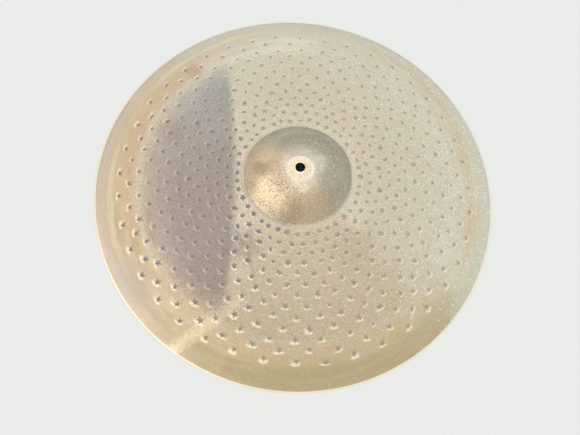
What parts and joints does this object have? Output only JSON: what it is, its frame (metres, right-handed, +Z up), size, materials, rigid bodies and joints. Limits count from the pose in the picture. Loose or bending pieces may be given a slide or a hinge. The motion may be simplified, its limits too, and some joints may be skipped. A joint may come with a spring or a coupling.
{
  "type": "crash cymbal",
  "caption": "Round crash cymbal in hammered sheet bronze: shallow bow, raised bell with a flat crown, and a centre hole for a stand's rod.",
  "frame": {"origin": "on the cymbal's axis, level with the lowest edge of the rim", "axes": "+Z up the axis, out of the bell; +X and +Y across the rim"},
  "size_m": [0.508, 0.508, 0.0439],
  "materials": {
    "bronze": "satin lathed bronze with a patina"
  },
  "bodies": {
    "root": {"cymbal": "bronze"}
  },
  "joints": []
}
